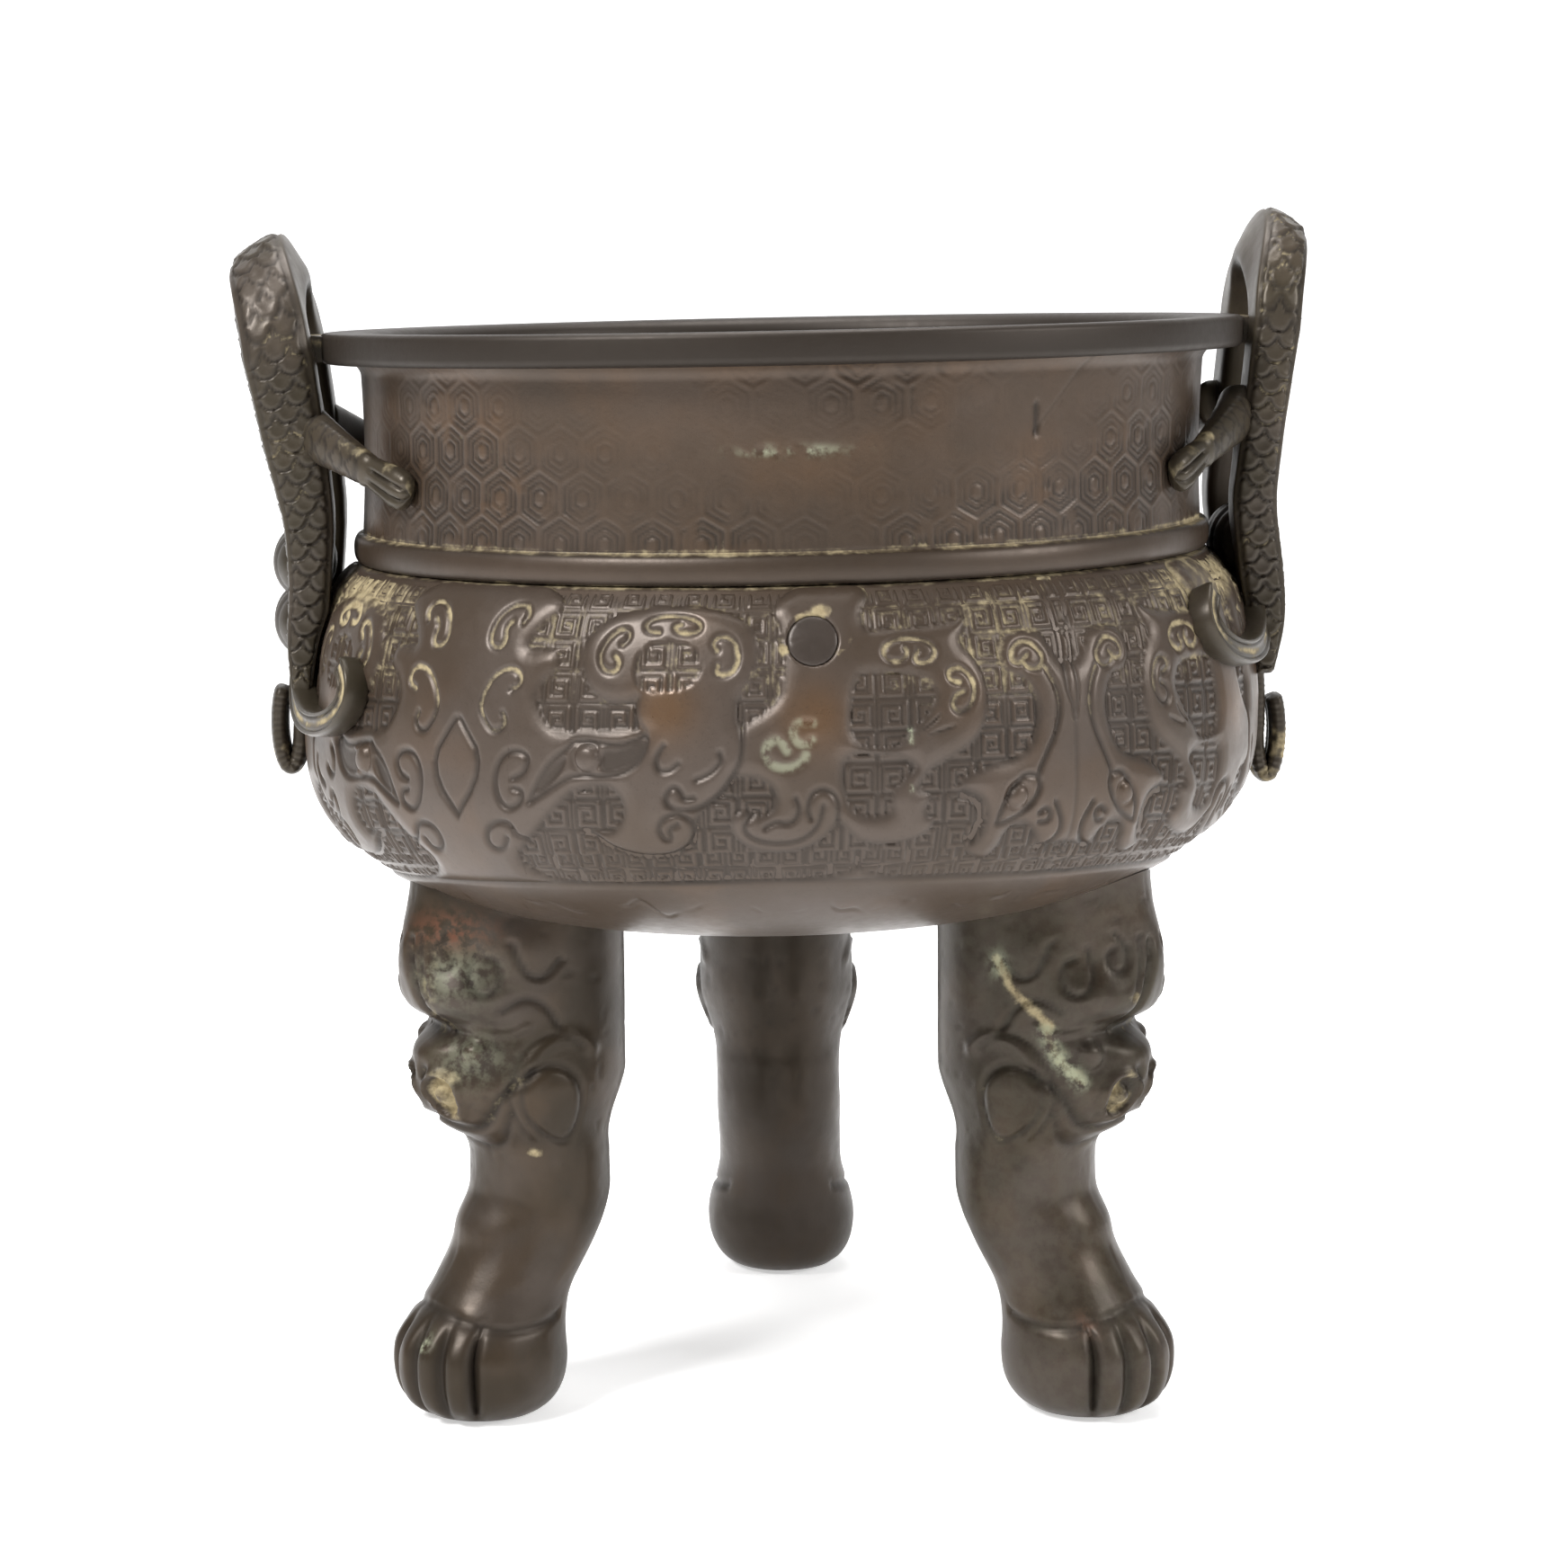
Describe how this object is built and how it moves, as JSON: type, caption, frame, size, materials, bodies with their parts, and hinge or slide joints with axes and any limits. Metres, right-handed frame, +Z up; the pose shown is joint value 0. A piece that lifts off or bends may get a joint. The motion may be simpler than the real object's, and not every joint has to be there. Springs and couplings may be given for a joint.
{
  "type": "bronze tripod censer",
  "caption": "Bronze incense burner: a round bowl with flat lip and bead on lion-headed paw legs, with upright scaled arch handles.",
  "frame": {"origin": "on the floor, under the middle of the whole piece's bounding box", "axes": "+Z up; the front with the repair disc looks towards -Y; the handles stand at -X and +X"},
  "size_m": [0.2188, 0.1978, 0.2424],
  "materials": {
    "vessel_bronze": "semi-gloss dark brown patina, worn warm brown on the raised bands, ochre dust in the grooves",
    "plug_bronze": "dull dark brown bronze disc",
    "leg_front_left_bronze": "dark brown patina with greenish-white and reddish residues in the hollows",
    "leg_front_right_bronze": "dark brown patina with greenish-white and reddish residues in the hollows",
    "leg_back_bronze": "dark brown patina with greenish-white and reddish residues in the hollows",
    "handle_left_bronze": "dark brown patina, matt, with ochre dust between the scales",
    "handle_right_bronze": "dark brown patina, matt, with ochre dust between the scales"
  },
  "bodies": {
    "root": {"vessel": "vessel_bronze", "repair_plug": "plug_bronze", "leg_front_left": "leg_front_left_bronze", "leg_front_right": "leg_front_right_bronze", "leg_back": "leg_back_bronze", "handle_left": "handle_left_bronze", "handle_right": "handle_right_bronze"}
  },
  "joints": []
}
